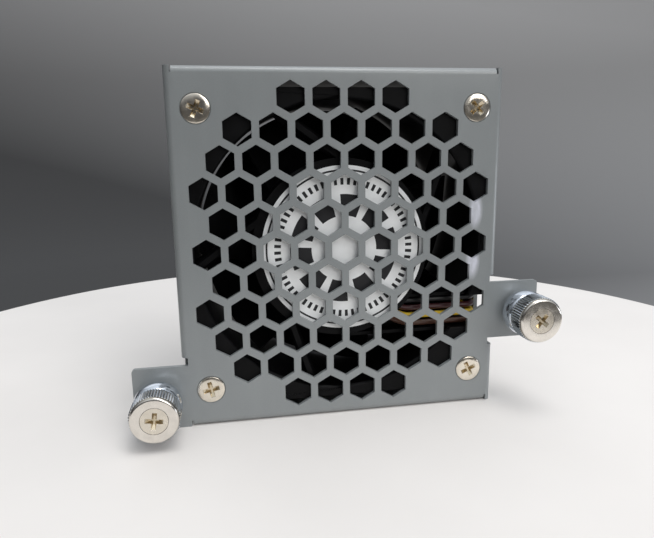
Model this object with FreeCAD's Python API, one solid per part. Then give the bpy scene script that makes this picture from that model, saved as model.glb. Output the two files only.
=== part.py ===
import FreeCAD, Part
import math
import os

from FreeCAD import Vector

# Server fan module: a folded sheet bracket with a hexagonal grille carries an axial fan,
# and two captive thumbscrews on its ears hold the module in a chassis.
# Everything is drawn about the fan axis, which runs along Y through the front of the grille,
# with +Y into the chassis and +Z up. The finished pieces are then set down on the table.
# All sizes are in millimetres.

# Fan body
fan_size = 70.0
fan_depth = 38.0
fan_flange = 4.5
fan_corner_r = 4.0
screw_inset = 4.4
bore_margin = 2.4
barrel_wall = 1.3
bore_edge = 0.5
inlet_flare = 1.7
inlet_flare_depth = 3.2

# Bracket sheet and box
sheet = 1.0
bend_inner_r = 0.4
fan_side_gap = 0.7
fan_end_gap = 3.1
rear_margin = 2.0
corner_slit = 0.3

# Grille
hex_pitch = 7.6
hex_flats = 6.0
hex_rows = (4, 7, 8, 9, 8, 9, 8, 9, 8, 7, 4)
grille_shift = 0.5

# Ears
ear_reach = 10.8
left_ear_height = 14.5
right_ear_height = 13.7
right_ear_drop = 16.25
ear_corner_r = 0.8
relief_height = 1.8
ear_window_depth = 9.5

# Motor base, its struts and the lead channel
base_r = 20.2
base_recess = 0.6
base_floor = 1.4
base_rim = 1.2
base_height = 4.8
base_eye_r = 3.6
strut_count = 5
strut_offset = 16.4
strut_width = 2.4
strut_nose = 1.0
strut_depth = 4.4
channel_wall = 0.8
channel_floor = 1.4
notch_start = 0.7
label_r = 18.6
label_thickness = 0.2
label_shift = 0.5

# Bearings, sleeve and shaft
shaft_r = 1.5
bearing_r = 4.0
bearing_width = 4.0
race_wall = 0.85
sleeve_wall = 0.9
sleeve_shoulder = 0.7
bearing_span = 15.0
boss_wall = 1.1
shaft_boss_r = 4.0
shaft_boss_length = 7.4
shaft_boss_flange_r = 5.5
shaft_boss_flange = 1.0
clip_thickness = 0.4
clip_r = 2.6
clip_mouth = 1.6
shaft_groove = 0.3
washer_thickness = 0.4
shaft_nose = 0.7
shaft_edge = 0.2

# Rotor
hub_r = 20.0
hub_gap = 0.8
hub_wall = 1.4
hub_back = 1.8
hub_length = 29.6
hub_taper = 0.6
hub_shoulder = 3.4
hub_dish_r = 6.0
hub_dish = 0.6
yoke_wall = 1.0
yoke_inset = 1.0
magnet_wall = 2.15
magnet_length = 20.0
magnet_inset = 1.3
blade_count = 7
blade_tip_gap = 0.6
blade_root_axial = 22.5
blade_tip_axial = 17.5
blade_root_stagger = 46.0
blade_tip_stagger = 62.0
blade_camber = 0.11
blade_root_thickness = 1.7
blade_tip_thickness = 1.1
blade_edge = 0.5
blade_inset = 4.0
blade_root_share = 0.8

# Stator and circuit board
air_gap = 0.55
stator_teeth = 4
stator_length = 12.0
stator_start = 4.2
stator_ring = 2.0
tooth_width = 4.4
shoe_depth = 1.8
shoe_angle = 72.0
insulator = 0.8
coil_gap = 0.3
coil_build = 2.0
board_r = 17.0
board_thickness = 1.0
board_lift = 1.8
chip_width = 5.0
chip_height = 1.4
chip_length = 4.0
sensor_width = 3.0
sensor_height = 1.2
sensor_length = 1.6
capacitor_width = 2.0
capacitor_height = 1.8
capacitor_length = 3.2
chip_angle = 30.0
sensor_angle = 135.0
capacitor_angles = (200.0, 230.0)

# Fan screws
fan_screw_r = 1.9
fan_screw_length = 8.0
fan_screw_head_r = 3.0
fan_screw_proud = 0.15
fan_screw_crown = 0.35
fan_screw_rim = 0.1
fan_screw_hole_gap = 0.2
fan_screw_turns = (22.0, 50.0, -12.0, -24.0)
cross_reach = 1.85
cross_floor = 1.15
cross_width = 1.0
cross_depth = 1.0

# Thumbscrews
left_thumb_reach = 5.25
right_thumb_reach = 6.1
knob_r = 5.3
knob_length = 10.2
knob_standoff = 1.0
knob_wall = 0.95
knob_lip = 0.8
knob_face = 1.8
knob_rim = 0.6
knob_rim_reach = 1.1
knob_round = 3.0
knurl_length = 4.4
knurl_count = 44
knurl_depth = 0.28
knob_mouth_gap = 0.2
retainer_r = 3.3
retainer_gap = 0.15
retainer_lip = 0.8
retainer_wall = 0.6
retainer_floor = 0.6
retainer_press_r = 2.9
thumb_head_r = 2.85
thumb_head = 1.2
thumb_neck_r = 1.2
thumb_thread_r = 1.5
thumb_thread_length = 3.0
thumb_tip = 0.3
thumb_seam = 0.08
thumb_turns = (8.0, 40.0)
spring_wire = 0.4
spring_turns = 5
spring_gap = 0.25

# Lead wires and the rear connector
wire_r = 0.7
wire_sides = 12
wire_pitch = 1.9
wire_start_pitch = 1.55
wire_bend_r = 2.2
lead_start_gap = 3.4
lead_start_rise = 2.4
lead_spread_end = 4.6
lead_exit = 1.8
lead_straight = 4.4
lead_grip = 2.0
lead_floor_gap = 0.2
lead_side_inset = 1.8
connector_size = 9.6
connector_length = 12.0
connector_lip = 1.0
connector_lip_depth = 1.2
connector_nose = 5.0
connector_edge = 0.8
contact_inset = 1.0
contact_pitch = 4.2
contact_r = 0.8
contact_length = 6.0
socket_size = 2.8
tab_margin = 2.6
arm_length = 16.0

# Bands that make up a rounded edge
round_bands = 4

# Clearances between pieces
press_gap = 0.02
slip_gap = 0.05
loose_gap = 0.3

# Derived sizes of the fan body
screw_pitch = fan_size - 2 * screw_inset
bore_r = fan_size / 2 - bore_margin

# Derived places on the bracket
plate_width = fan_size + 2 * (fan_side_gap + sheet)
plate_height = fan_size + 2 * (fan_end_gap + sheet)
half_width = plate_width / 2
half_height = plate_height / 2
bend_r = bend_inner_r + sheet
flat_x = half_width - bend_r
flat_z = half_height - bend_r
fan_front = sheet
fan_back = fan_front + fan_depth
box_depth = fan_back + rear_margin
ear_x = half_width + ear_reach
left_ear_z = (-half_height, -half_height + left_ear_height)
right_ear_z = (-right_ear_drop - right_ear_height / 2, -right_ear_drop + right_ear_height / 2)
thumb_places = {
    "left": Vector(-half_width - left_thumb_reach, 0, sum(left_ear_z) / 2),
    "right": Vector(half_width + right_thumb_reach, 0, sum(right_ear_z) / 2),
}
screw_places = [(sx * screw_pitch / 2, sz * screw_pitch / 2) for sz in (1, -1) for sx in (-1, 1)]

# Derived places along the motor's axis
base_front = fan_front + base_recess
floor_back = base_front + base_floor
base_back = base_front + base_height
strut_back = base_front + strut_nose + strut_depth
board_front = floor_back + board_lift
board_back = board_front + board_thickness
boss_r = bearing_r + sleeve_wall + press_gap + boss_wall
sleeve_front = floor_back
front_bearing_y = sleeve_front + clip_thickness
rear_bearing_y = front_bearing_y + bearing_width + bearing_span
sleeve_back = rear_bearing_y + bearing_width
stator_front = board_back + stator_start + insulator
stator_back = stator_front + stator_length
hub_front = base_back + hub_gap
hub_rear = hub_front + hub_length
hub_floor = hub_rear - hub_back
cavity_r = hub_r - hub_wall
yoke_r = cavity_r - press_gap
yoke_back = hub_floor - press_gap
yoke_floor = yoke_back - yoke_wall
magnet_r = yoke_r - yoke_wall - press_gap
magnet_front = hub_front + yoke_inset + magnet_inset
stator_r = magnet_r - magnet_wall - air_gap
shaft_boss_front = yoke_back - shaft_boss_length
blade_tip_r = bore_r - blade_tip_gap

# Derived places of the lead wires and the connector
wire_y = floor_back + wire_r + lead_floor_gap
wire_middle_z = -strut_offset
wire_x = fan_size / 2 - lead_side_inset
channel_half = 1.5 * wire_pitch + wire_r + loose_gap
tab_back = fan_back + arm_length
tab_front = tab_back - sheet
connector_front = tab_front - connector_lip_depth - (connector_length - connector_nose) + sheet
connector_x = half_width - sheet - bend_inner_r - loose_gap - connector_size / 2 - connector_lip
arm_half = connector_size / 2 + tab_margin

y_axis = Vector(0, 1, 0)
centre = Vector(0, 0, 0)
to_table = Vector(0, -box_depth / 2, half_height)


def block(x0, x1, y0, y1, z0, z1):
    """Box between two corners."""
    return Part.makeBox(x1 - x0, y1 - y0, z1 - z0, Vector(x0, y0, z0))


def rod(radius, y0, y1, x=0.0, z=0.0):
    """Cylinder along Y."""
    return Part.makeCylinder(radius, y1 - y0, Vector(x, y0, z), y_axis)


def tube(outer, inner, y0, y1):
    """Tube along Y about the axis."""
    return rod(outer, y0, y1).cut(rod(inner, y0 - 1, y1 + 1))


def turned(profile):
    """Solid of revolution about Y from a closed outline of (radius, y) points."""
    points = [Vector(r, y, 0) for r, y in profile]
    face = Part.Face(Part.makePolygon(points + points[:1]))
    return face.revolve(centre, y_axis, 360)


def round_edge(start, end, bulge):
    """Points of a rounded (radius, y) edge from one end to the other, bulging towards a corner."""
    points = []
    for k in range(round_bands + 1):
        angle = math.pi / 2 * k / round_bands
        out = 1 - math.cos(angle)
        along = math.sin(angle)
        points.append((start[0] + (bulge[0] - start[0]) * along + (end[0] - bulge[0]) * out,
                       start[1] + (bulge[1] - start[1]) * along + (end[1] - bulge[1]) * out))
    return points


def around(shape, degrees):
    """Copy turned about the fan axis."""
    copy = shape.copy()
    copy.rotate(centre, y_axis, degrees)
    return copy


def moved(shape, offset):
    """Copy moved by an offset."""
    copy = shape.copy()
    copy.translate(offset)
    return copy


def rounded(points, radii, closed):
    """Wire of straight runs joined by tangent arcs."""
    count = len(points)
    starts = list(points)
    ends = list(points)
    arcs = [None] * count
    for i in range(count):
        if radii[i] <= 0 or (not closed and i in (0, count - 1)):
            continue
        corner = points[i]
        back = (points[i - 1] - corner).normalize()
        ahead = (points[(i + 1) % count] - corner).normalize()
        half = back.getAngle(ahead) / 2
        run = radii[i] / math.tan(half)
        middle = corner + (back + ahead).normalize() * (radii[i] / math.sin(half))
        starts[i] = corner + back * run
        ends[i] = corner + ahead * run
        top = middle + (corner - middle).normalize() * radii[i]
        arcs[i] = Part.Arc(starts[i], top, ends[i]).toShape()
    edges = []
    for i in range(count):
        if arcs[i]:
            edges.append(arcs[i])
        if i == count - 1 and not closed:
            break
        edges.append(Part.LineSegment(ends[i], starts[(i + 1) % count]).toShape())
    return Part.Wire(edges)


def plate_xz(points, radii, y0, y1):
    """Flat piece from an (x, z) outline with rounded corners, between two depths."""
    outline = rounded([Vector(x, y0, z) for x, z in points], radii, True)
    return Part.Face(outline).extrude(Vector(0, y1 - y0, 0))


def square_plate(half, corner, y0, y1):
    """Square plate with rounded corners."""
    points = [(-half, -half), (half, -half), (half, half), (-half, half)]
    return plate_xz(points, [corner] * 4, y0, y1)


def cross_recess(y_face, degrees, x=0.0, z=0.0):
    """Cross-shaped driver recess that opens towards -Y."""
    wedge = [
        Vector(-cross_reach, y_face, -cross_width / 2),
        Vector(cross_reach, y_face, -cross_width / 2),
        Vector(cross_floor, y_face + cross_depth, -cross_width / 2),
        Vector(-cross_floor, y_face + cross_depth, -cross_width / 2),
    ]
    blade = Part.Face(Part.makePolygon(wedge + wedge[:1])).extrude(Vector(0, 0, cross_width))
    cross = around(blade, degrees).fuse(around(blade, degrees + 90))
    return moved(cross, Vector(x, 0, z))


def coil_spring(radius, wire, y0, y1, turns):
    """Compression spring along Y that fills the space between two seats."""
    pitch = (y1 - y0 - wire) / turns
    helix = Part.makeHelix(pitch, pitch * turns, radius)
    half = wire / 2
    corners = [Vector(radius - half, 0, -half), Vector(radius + half, 0, -half),
               Vector(radius + half, 0, half), Vector(radius - half, 0, half)]
    section = Part.makePolygon(corners + corners[:1])
    spring = Part.Wire(helix.Edges).makePipeShell([section], True, True)
    spring.rotate(centre, Vector(1, 0, 0), -90)
    return moved(spring, Vector(0, y0 + wire / 2, 0))


def side_flange(half, start, end):
    """Bent flange of the right side, from one height to another."""
    edge = half - bend_r
    outer = Part.Arc(Vector(edge, 0, start), Vector(half - bend_r * (1 - math.sqrt(0.5)),
                     bend_r * (1 - math.sqrt(0.5)), start), Vector(half, bend_r, start))
    inner = Part.Arc(Vector(half - sheet, bend_r, start),
                     Vector(edge + bend_inner_r * math.sqrt(0.5),
                            bend_r - bend_inner_r * math.sqrt(0.5), start),
                     Vector(edge, sheet, start))
    sides = [
        Part.LineSegment(Vector(half, bend_r, start), Vector(half, box_depth, start)),
        Part.LineSegment(Vector(half, box_depth, start), Vector(half - sheet, box_depth, start)),
        Part.LineSegment(Vector(half - sheet, box_depth, start), Vector(half - sheet, bend_r, start)),
        inner,
        Part.LineSegment(Vector(edge, sheet, start), Vector(edge, 0, start)),
    ]
    outline = Part.Wire([outer.toShape()] + [side.toShape() for side in sides])
    return Part.Face(outline).extrude(Vector(0, 0, end - start))


def connector_arm():
    """Rearward arm of the right flange, folded inwards as the connector's tab."""
    inner_x = connector_x - arm_half
    points = [
        Vector(half_width, box_depth - sheet, 0),
        Vector(half_width, tab_back, 0),
        Vector(inner_x, tab_back, 0),
        Vector(inner_x, tab_front, 0),
        Vector(half_width - sheet, tab_front, 0),
        Vector(half_width - sheet, box_depth - sheet, 0),
    ]
    outline = rounded(points, [0, bend_r, 0, 0, bend_inner_r, 0], True)
    arm = Part.Face(outline).extrude(Vector(0, 0, 2 * arm_half))
    arm.translate(Vector(0, 0, wire_middle_z - arm_half))
    window = connector_size / 2 + slip_gap
    hole = block(connector_x - window, connector_x + window, tab_front - 1, tab_back + 1,
                 wire_middle_z - window, wire_middle_z + window)
    return arm.cut(hole)


def grille_holes():
    """Hexagonal holes in rows, each row half a pitch from the next."""
    corner = hex_flats / math.sqrt(3)
    holes = []
    for row, count in enumerate(hex_rows):
        z = (len(hex_rows) // 2 - row) * hex_pitch * math.sqrt(3) / 2
        for place in range(count):
            x = grille_shift + (place - (count - 1) / 2) * hex_pitch
            tips = [Vector(x + corner * math.sin(k * math.pi / 3), -1,
                           z + corner * math.cos(k * math.pi / 3)) for k in range(6)]
            hexagon = Part.Face(Part.makePolygon(tips + tips[:1]))
            holes.append(hexagon.extrude(Vector(0, sheet + 2, 0)))
    return Part.Compound(holes)


def countersink():
    """Space for one fan screw's head and shank through the face."""
    wide = fan_screw_head_r + fan_screw_hole_gap
    narrow = fan_screw_r + fan_screw_hole_gap
    return turned([(0, -1), (wide, -1), (wide, fan_screw_rim), (narrow, sheet - slip_gap),
                   (narrow, sheet + 1), (0, sheet + 1)])


def ear(side, z0, z1, lower_r):
    """Flat ear beyond the side bend, with rounded outer corners."""
    points = [(side * flat_x, z0), (side * ear_x, z0), (side * ear_x, z1), (side * flat_x, z1)]
    return plate_xz(points, [0, lower_r, ear_corner_r, 0], 0, sheet)


def make_bracket():
    """Face with the grille, four flanges, two ears and the connector's arm."""
    face = block(-flat_x, flat_x, 0, sheet, -flat_z, flat_z)
    right = side_flange(half_width, -half_height, half_height)
    left = around(right, 180)
    reach = flat_x - corner_slit
    top = around(side_flange(half_height, -reach, reach), -90)
    bottom = around(top, 180)
    right = right.cut(block(flat_x, ear_x, -1, ear_window_depth,
                            right_ear_z[0] - relief_height, right_ear_z[1] + relief_height))
    left = left.cut(block(-ear_x, -flat_x, -1, ear_window_depth,
                          left_ear_z[0] - 1, left_ear_z[1] + relief_height))
    pieces = [right, left, top, bottom, connector_arm(),
              ear(-1, left_ear_z[0], left_ear_z[1], ear_corner_r),
              ear(1, right_ear_z[0], right_ear_z[1], ear_corner_r)]
    bracket = face.multiFuse(pieces)
    holes = [moved(countersink(), Vector(x, 0, z)) for x, z in screw_places]
    for place in thumb_places.values():
        holes.append(rod(retainer_press_r + press_gap, -1, sheet + 1, place.x, place.z))
    return bracket.cut(Part.Compound(holes)).cut(grille_holes()).removeSplitter()


def bore_space():
    """Air way through the fan, chamfered at the outlet and flared at the inlet."""
    y0 = fan_front
    y1 = fan_back
    wide = bore_r + inlet_flare
    narrow = (bore_r, y1 - inlet_flare_depth)
    flare = round_edge(narrow, (wide, y1), (bore_r, y1))
    return turned(flare + [(wide, y1 + 1), (0, y1 + 1), (0, y0 - 1), (bore_r + bore_edge, y0 - 1),
                           (bore_r + bore_edge, y0), (bore_r, y0 + bore_edge)])


def strut():
    """Straight strut off the hub's radius, with a narrow nose towards the grille."""
    y0 = base_front
    half = strut_width / 2
    section = [(y0, -half / 2), (y0 + strut_nose, -half), (strut_back, -half),
               (strut_back, half), (y0 + strut_nose, half), (y0, half / 2)]
    points = [Vector(0, y, z - strut_offset) for y, z in section]
    return Part.Face(Part.makePolygon(points + points[:1])).extrude(Vector(bore_r + barrel_wall, 0, 0))


def lead_channel():
    """Strut formed as a shallow trough for the lead wires."""
    z0 = wire_middle_z - channel_half - channel_wall
    z1 = wire_middle_z + channel_half + channel_wall
    body = block(0, bore_r + barrel_wall, base_front + strut_nose, strut_back, z0, z1)
    floor_y = strut_back - channel_floor
    trough = block(0, bore_r + barrel_wall, base_front, floor_y, z0 + channel_wall, z1 - channel_wall)
    return body.cut(trough)


def make_fan_housing():
    """Two square flanges and a round barrel, notched for the lead wires."""
    front = square_plate(fan_size / 2, fan_corner_r, fan_front, fan_front + fan_flange)
    back = square_plate(fan_size / 2, fan_corner_r, fan_back - fan_flange, fan_back)
    shell = rod(bore_r + barrel_wall, fan_front, fan_back).multiFuse([front, back]).cut(bore_space())
    holes = [rod(fan_screw_r + slip_gap, fan_front - 1, fan_back + 1, x, z) for x, z in screw_places]
    lead_z0 = wire_middle_z - channel_half
    lead_z1 = wire_middle_z + channel_half
    notch = block(bore_r * notch_start, fan_size / 2 + 1, fan_front - 1, fan_front + fan_flange,
                  lead_z0, lead_z1)
    rear_notch = block(wire_x - wire_r - loose_gap, fan_size / 2 + 1, fan_back - fan_flange - 1,
                       fan_back + 1, lead_z0, lead_z1)
    return shell.cut(Part.Compound(holes + [notch, rear_notch])).removeSplitter()


def make_motor_base():
    """Round base for the motor, with its boss and the struts that seat in the barrel."""
    spokes = [around(strut(), 360 / strut_count * k) for k in range(1, strut_count)]
    spokes = spokes[0].multiFuse(spokes[1:] + [lead_channel()])
    spokes = spokes.common(tube(bore_r - slip_gap, base_r - base_rim / 2, base_front, strut_back))
    floor = tube(base_r, base_eye_r, base_front, floor_back)
    rim = tube(base_r, base_r - base_rim, base_front, base_back)
    boss = tube(boss_r, boss_r - boss_wall, floor_back - press_gap, stator_back - insulator)
    mouth = block(boss_r, base_r + 1, floor_back, wire_y + wire_r + loose_gap,
                  wire_middle_z - channel_half, wire_middle_z + 2 * channel_half)
    return floor.multiFuse([rim.cut(mouth), boss, spokes]).removeSplitter()


def make_label():
    """Plain round label on the motor base."""
    return rod(label_r, base_front - label_thickness, base_front, label_shift)


def outer_race(y):
    """Outer ring of a ball bearing."""
    return tube(bearing_r - press_gap, bearing_r - race_wall, y, y + bearing_width)


def inner_race(y):
    """Inner ring of a ball bearing."""
    return tube(shaft_r + race_wall, shaft_r + press_gap, y, y + bearing_width)


def make_sleeve():
    """Brass sleeve with a seat for a bearing at each end."""
    outer = bearing_r + sleeve_wall
    inner = bearing_r - sleeve_shoulder
    front_seat = front_bearing_y + bearing_width
    return turned([(outer, sleeve_front), (outer, sleeve_back), (bearing_r, sleeve_back),
                   (bearing_r, rear_bearing_y), (inner, rear_bearing_y), (inner, front_seat),
                   (bearing_r, front_seat), (bearing_r, sleeve_front)])


def make_shaft():
    """Steel shaft with a clip groove near its front end."""
    groove_r = shaft_r - shaft_groove
    front = sleeve_front - shaft_nose
    return turned([(0, front), (shaft_r - shaft_edge, front), (shaft_r, front + shaft_edge),
                   (shaft_r, sleeve_front), (groove_r, sleeve_front), (groove_r, front_bearing_y),
                   (shaft_r, front_bearing_y), (shaft_r, yoke_back - slip_gap), (0, yoke_back - slip_gap)])


def make_clip():
    """Snap ring in the shaft's groove, open on one side."""
    y0 = sleeve_front + slip_gap
    y1 = front_bearing_y - slip_gap
    ring = tube(clip_r, shaft_r - shaft_groove + press_gap, y0, y1)
    return ring.cut(block(0, clip_r + 1, y0 - 1, y1 + 1, -clip_mouth / 2, clip_mouth / 2))


def make_shaft_boss():
    """Brass boss that ties the rotor's cup to the shaft."""
    flange_back = yoke_floor - press_gap
    flange_front = flange_back - shaft_boss_flange
    bore = shaft_r + press_gap
    return turned([(bore, shaft_boss_front), (shaft_boss_r, shaft_boss_front),
                   (shaft_boss_r, flange_front), (shaft_boss_flange_r, flange_front),
                   (shaft_boss_flange_r, flange_back), (shaft_boss_r, flange_back),
                   (shaft_boss_r, yoke_back), (bore, yoke_back)])


def make_preload_washer():
    """Conical spring washer between the rear bearing's inner ring and the rotor boss."""
    bore = shaft_r + slip_gap
    rim = shaft_boss_r - slip_gap
    y0 = sleeve_back + slip_gap
    y1 = shaft_boss_front - slip_gap
    return turned([(bore, y0), (bore + washer_thickness, y0), (rim, y1 - washer_thickness), (rim, y1),
                   (rim - washer_thickness, y1), (bore, y0 + washer_thickness)])


def make_yoke():
    """Steel cup that closes the magnet's field."""
    front = hub_front + yoke_inset
    cup = rod(yoke_r, front, yoke_back).cut(rod(yoke_r - yoke_wall, front - 1, yoke_floor))
    return cup.cut(rod(shaft_boss_r + press_gap, yoke_floor - 1, yoke_back + 1))


def make_magnet():
    """Ring magnet inside the steel cup."""
    return tube(magnet_r, magnet_r - magnet_wall, magnet_front, magnet_front + magnet_length)


def blade_section(x, axial, stagger, thickness):
    """Cambered blade section at one distance from the axis, in a plane across the radius."""
    slope = math.tan(math.radians(stagger))
    y_back = hub_rear - blade_inset + (axial - blade_root_axial) / 2
    y_front = y_back - axial
    back = Vector(x, y_back, -axial * slope / 2)
    front = Vector(x, y_front, axial * slope / 2)
    chord = front - back
    normal = Vector(0, -chord.z, chord.y).normalize() * -1
    middle = (back + front) / 2 + normal * (chord.Length * blade_camber)
    edge = normal * (blade_edge / 2)
    body = normal * (thickness / 2)
    upper = Part.Arc(back + edge, middle + body, front + edge).toShape()
    lower = Part.Arc(front - edge, middle - body, back - edge).toShape()
    front_end = Part.LineSegment(front + edge, front - edge).toShape()
    back_end = Part.LineSegment(back - edge, back + edge).toShape()
    return Part.Wire([upper, front_end, lower, back_end])


def make_impeller():
    """Hub cup with twisted, cambered blades."""
    inner_x = cavity_r * blade_root_share
    outer_x = bore_r
    sections = []
    for share in (0.0, 1.0):
        sections.append(blade_section(
            inner_x + (outer_x - inner_x) * share,
            blade_root_axial + (blade_tip_axial - blade_root_axial) * share,
            blade_root_stagger + (blade_tip_stagger - blade_root_stagger) * share,
            blade_root_thickness + (blade_tip_thickness - blade_root_thickness) * share))
    blade = Part.makeLoft(sections, True, True)
    blade = blade.common(tube(blade_tip_r, hub_r - hub_wall / 2, hub_front, hub_rear))
    back_r = hub_r - hub_taper
    shoulder = round_edge((back_r, hub_rear - hub_shoulder), (back_r - hub_shoulder, hub_rear),
                          (back_r, hub_rear))
    hub = turned(shoulder + [(hub_dish_r, hub_rear), (hub_dish_r - hub_dish, hub_rear - hub_dish),
                             (0, hub_rear - hub_dish), (0, hub_floor), (cavity_r, hub_floor),
                             (cavity_r, hub_front), (hub_r, hub_front)])
    return hub.multiFuse([around(blade, 360 / blade_count * k) for k in range(blade_count)])


def star(y0, y1, outer):
    """Ring with teeth, as the stator and its end insulators share."""
    ring_r = boss_r + press_gap + stator_ring
    ring = tube(ring_r, boss_r + press_gap, y0, y1)
    tooth = block(ring_r - stator_ring / 2, outer, y0, y1, -tooth_width / 2, tooth_width / 2)
    return ring.multiFuse([around(tooth, 360 / stator_teeth * k) for k in range(stator_teeth)])


def make_stator_core():
    """Laminated core with a broad shoe on each tooth."""
    shoe_ring = tube(stator_r, stator_r - shoe_depth, stator_front, stator_back)
    spread = stator_r * 2 * math.tan(math.radians(shoe_angle / 2))
    corners = [Vector(0, stator_front, 0), Vector(stator_r * 2, stator_front, -spread),
               Vector(stator_r * 2, stator_front, spread)]
    wedge = Part.Face(Part.makePolygon(corners + corners[:1])).extrude(Vector(0, stator_length, 0))
    shoe = shoe_ring.common(wedge)
    shoes = [around(shoe, 360 / stator_teeth * k) for k in range(stator_teeth)]
    core = star(stator_front, stator_back, stator_r - shoe_depth / 2)
    return core.multiFuse(shoes).removeSplitter()


def make_windings():
    """Copper coil round each tooth."""
    half = tooth_width / 2 + coil_gap
    inner = boss_r + press_gap + stator_ring + loose_gap
    outer = math.sqrt((stator_r - shoe_depth) ** 2 - (half + coil_build) ** 2) - loose_gap
    y0 = stator_front - insulator - slip_gap
    y1 = stator_back + insulator + slip_gap
    coil = block(inner, outer, y0 - coil_build, y1 + coil_build, -half - coil_build, half + coil_build)
    long_edges = [e for e in coil.Edges if abs(e.tangentAt(0).x) > 0.9]
    coil = coil.makeFillet(coil_build / 2, long_edges)
    coil = coil.cut(block(inner - 1, outer + 1, y0, y1, -half, half))
    return Part.Compound([around(coil, 360 / stator_teeth * k) for k in range(stator_teeth)])


def make_board():
    """Round circuit board behind the base floor."""
    return tube(board_r, boss_r + loose_gap, board_front, board_back)


def make_board_components():
    """Driver chip, hall sensor and two capacitors on the board's stator side."""
    middle_r = (boss_r + board_r) / 2

    def component(width, height, length, degrees):
        body = block(middle_r - width / 2, middle_r + width / 2, board_back, board_back + height,
                     -length / 2, length / 2)
        return around(body, degrees)

    components = [component(chip_width, chip_height, chip_length, chip_angle),
                  component(sensor_width, sensor_height, sensor_length, sensor_angle)]
    for degrees in capacitor_angles:
        components.append(component(capacitor_width, capacitor_height, capacitor_length, degrees))
    return Part.Compound(components)


def make_fan_screws():
    """Four countersunk screws through the face into the fan's front flange."""
    front = -fan_screw_proud
    profile = [(0, front), (fan_screw_head_r - fan_screw_crown, front), (fan_screw_head_r, 0),
               (fan_screw_head_r, fan_screw_rim), (fan_screw_r, sheet - slip_gap),
               (fan_screw_r, fan_screw_length), (0, fan_screw_length)]
    screws = []
    for (x, z), degrees in zip(screw_places, fan_screw_turns):
        screw = moved(turned(profile), Vector(x, 0, z))
        screws.append(screw.cut(cross_recess(front, degrees, x, z)))
    return Part.Compound(screws)


def make_retainer():
    """Sleeve pressed into the ear, with a lip that keeps the knob from coming off."""
    knob_hook = -knob_standoff - knob_lip - slip_gap
    lip_front = knob_hook - retainer_lip
    lip_r = knob_r - knob_wall - retainer_gap
    bore = thumb_thread_r + retainer_gap
    inside = retainer_r - retainer_wall
    return turned([(bore, sheet - slip_gap), (retainer_press_r, sheet - slip_gap), (retainer_press_r, 0),
                   (retainer_r, 0), (retainer_r, knob_hook), (lip_r, knob_hook), (lip_r, lip_front),
                   (inside, lip_front), (inside, -retainer_floor), (bore, -retainer_floor)])


def make_knob():
    """Knurled cap with a rounded rear edge that closes round the retainer."""
    rear = -knob_standoff
    front = rear - knob_length
    inside = front + knob_face
    bore = knob_r - knob_wall
    mouth = retainer_r + knob_mouth_gap
    head_floor = front + thumb_head + thumb_seam
    shoulder = round_edge((mouth + knob_lip / 2, rear), (knob_r, rear - knob_round), (knob_r, rear))
    seat_r = thumb_head_r + thumb_seam
    neck_r = thumb_neck_r + press_gap
    root_r = knob_r - knurl_depth
    tooth_front = front + knob_rim
    tooth_back = tooth_front + knurl_length
    groove_r = root_r - slip_gap
    rim = round_edge((groove_r, tooth_front), (knob_r - knob_rim_reach, front), (groove_r, front))
    knob = turned(shoulder + [(knob_r, tooth_back), (groove_r, tooth_back)] + rim +
                  [(seat_r, front), (seat_r, head_floor), (neck_r, head_floor), (neck_r, inside),
                   (bore, inside), (bore, rear - knob_lip), (mouth, rear - knob_lip), (mouth, rear)])
    tips = []
    for k in range(2 * knurl_count):
        radius = (root_r, knob_r - slip_gap)[k % 2]
        angle = math.pi * k / knurl_count
        tips.append(Vector(radius * math.cos(angle), tooth_front, radius * math.sin(angle)))
    teeth = Part.Face(Part.makePolygon(tips + tips[:1])).extrude(Vector(0, knurl_length, 0))
    return knob.fuse(teeth.cut(rod(bore + slip_gap, tooth_front - 1, tooth_back + 1)))


def make_thumb_screw(degrees):
    """Screw set flush into the knob's face, with a necked shank and a threaded end."""
    front = -knob_standoff - knob_length
    thread_start = sheet + slip_gap
    tip = thread_start + thumb_thread_length
    screw = turned([(0, front), (thumb_head_r, front), (thumb_head_r, front + thumb_head),
                    (thumb_neck_r, front + thumb_head), (thumb_neck_r, thread_start),
                    (thumb_thread_r, thread_start), (thumb_thread_r, tip - thumb_tip),
                    (thumb_thread_r - thumb_tip, tip), (0, tip)])
    return screw.cut(cross_recess(front, degrees))


def make_thumb_spring():
    """Spring that pushes the knob away from the ear."""
    inside = retainer_r - retainer_wall
    radius = (thumb_neck_r + inside) / 2
    seat = -knob_standoff - knob_length + knob_face
    return coil_spring(radius, spring_wire, seat + slip_gap, -retainer_floor - slip_gap, spring_turns)


def lead_route(place):
    """Corner points of one lead, from the board through the notch to the connector."""
    rank = 1.5 - place
    z = wire_middle_z + rank * wire_pitch
    start_z = wire_middle_z + lead_start_rise + rank * wire_start_pitch
    across = (1, -1, -1, 1)[place]
    above = (1, 1, -1, -1)[place]
    end_x = connector_x + across * contact_pitch / 2
    end_z = wire_middle_z + above * contact_pitch / 2
    return [
        Vector(boss_r + lead_start_gap, wire_y, start_z),
        Vector(base_r - lead_spread_end, wire_y, z),
        Vector(wire_x, wire_y, z),
        Vector(wire_x, fan_back + lead_exit, z),
        Vector(end_x, connector_front - lead_straight, end_z),
        Vector(end_x, connector_front + lead_grip, end_z),
    ]


def make_lead(place):
    """One insulated lead wire, held from the board to the connector."""
    points = lead_route(place)
    path = rounded(points, [0, 3 * wire_bend_r, wire_bend_r, 2 * wire_bend_r, 2 * wire_bend_r, 0], False)
    across = (points[1] - points[0]).cross(y_axis).normalize() * wire_r
    corners = []
    for k in range(wire_sides):
        angle = 2 * math.pi * k / wire_sides
        corners.append(points[0] + across * math.cos(angle) + y_axis * (wire_r * math.sin(angle)))
    section = Part.makePolygon(corners + corners[:1])
    return path.makePipeShell([section], True, False)


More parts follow.
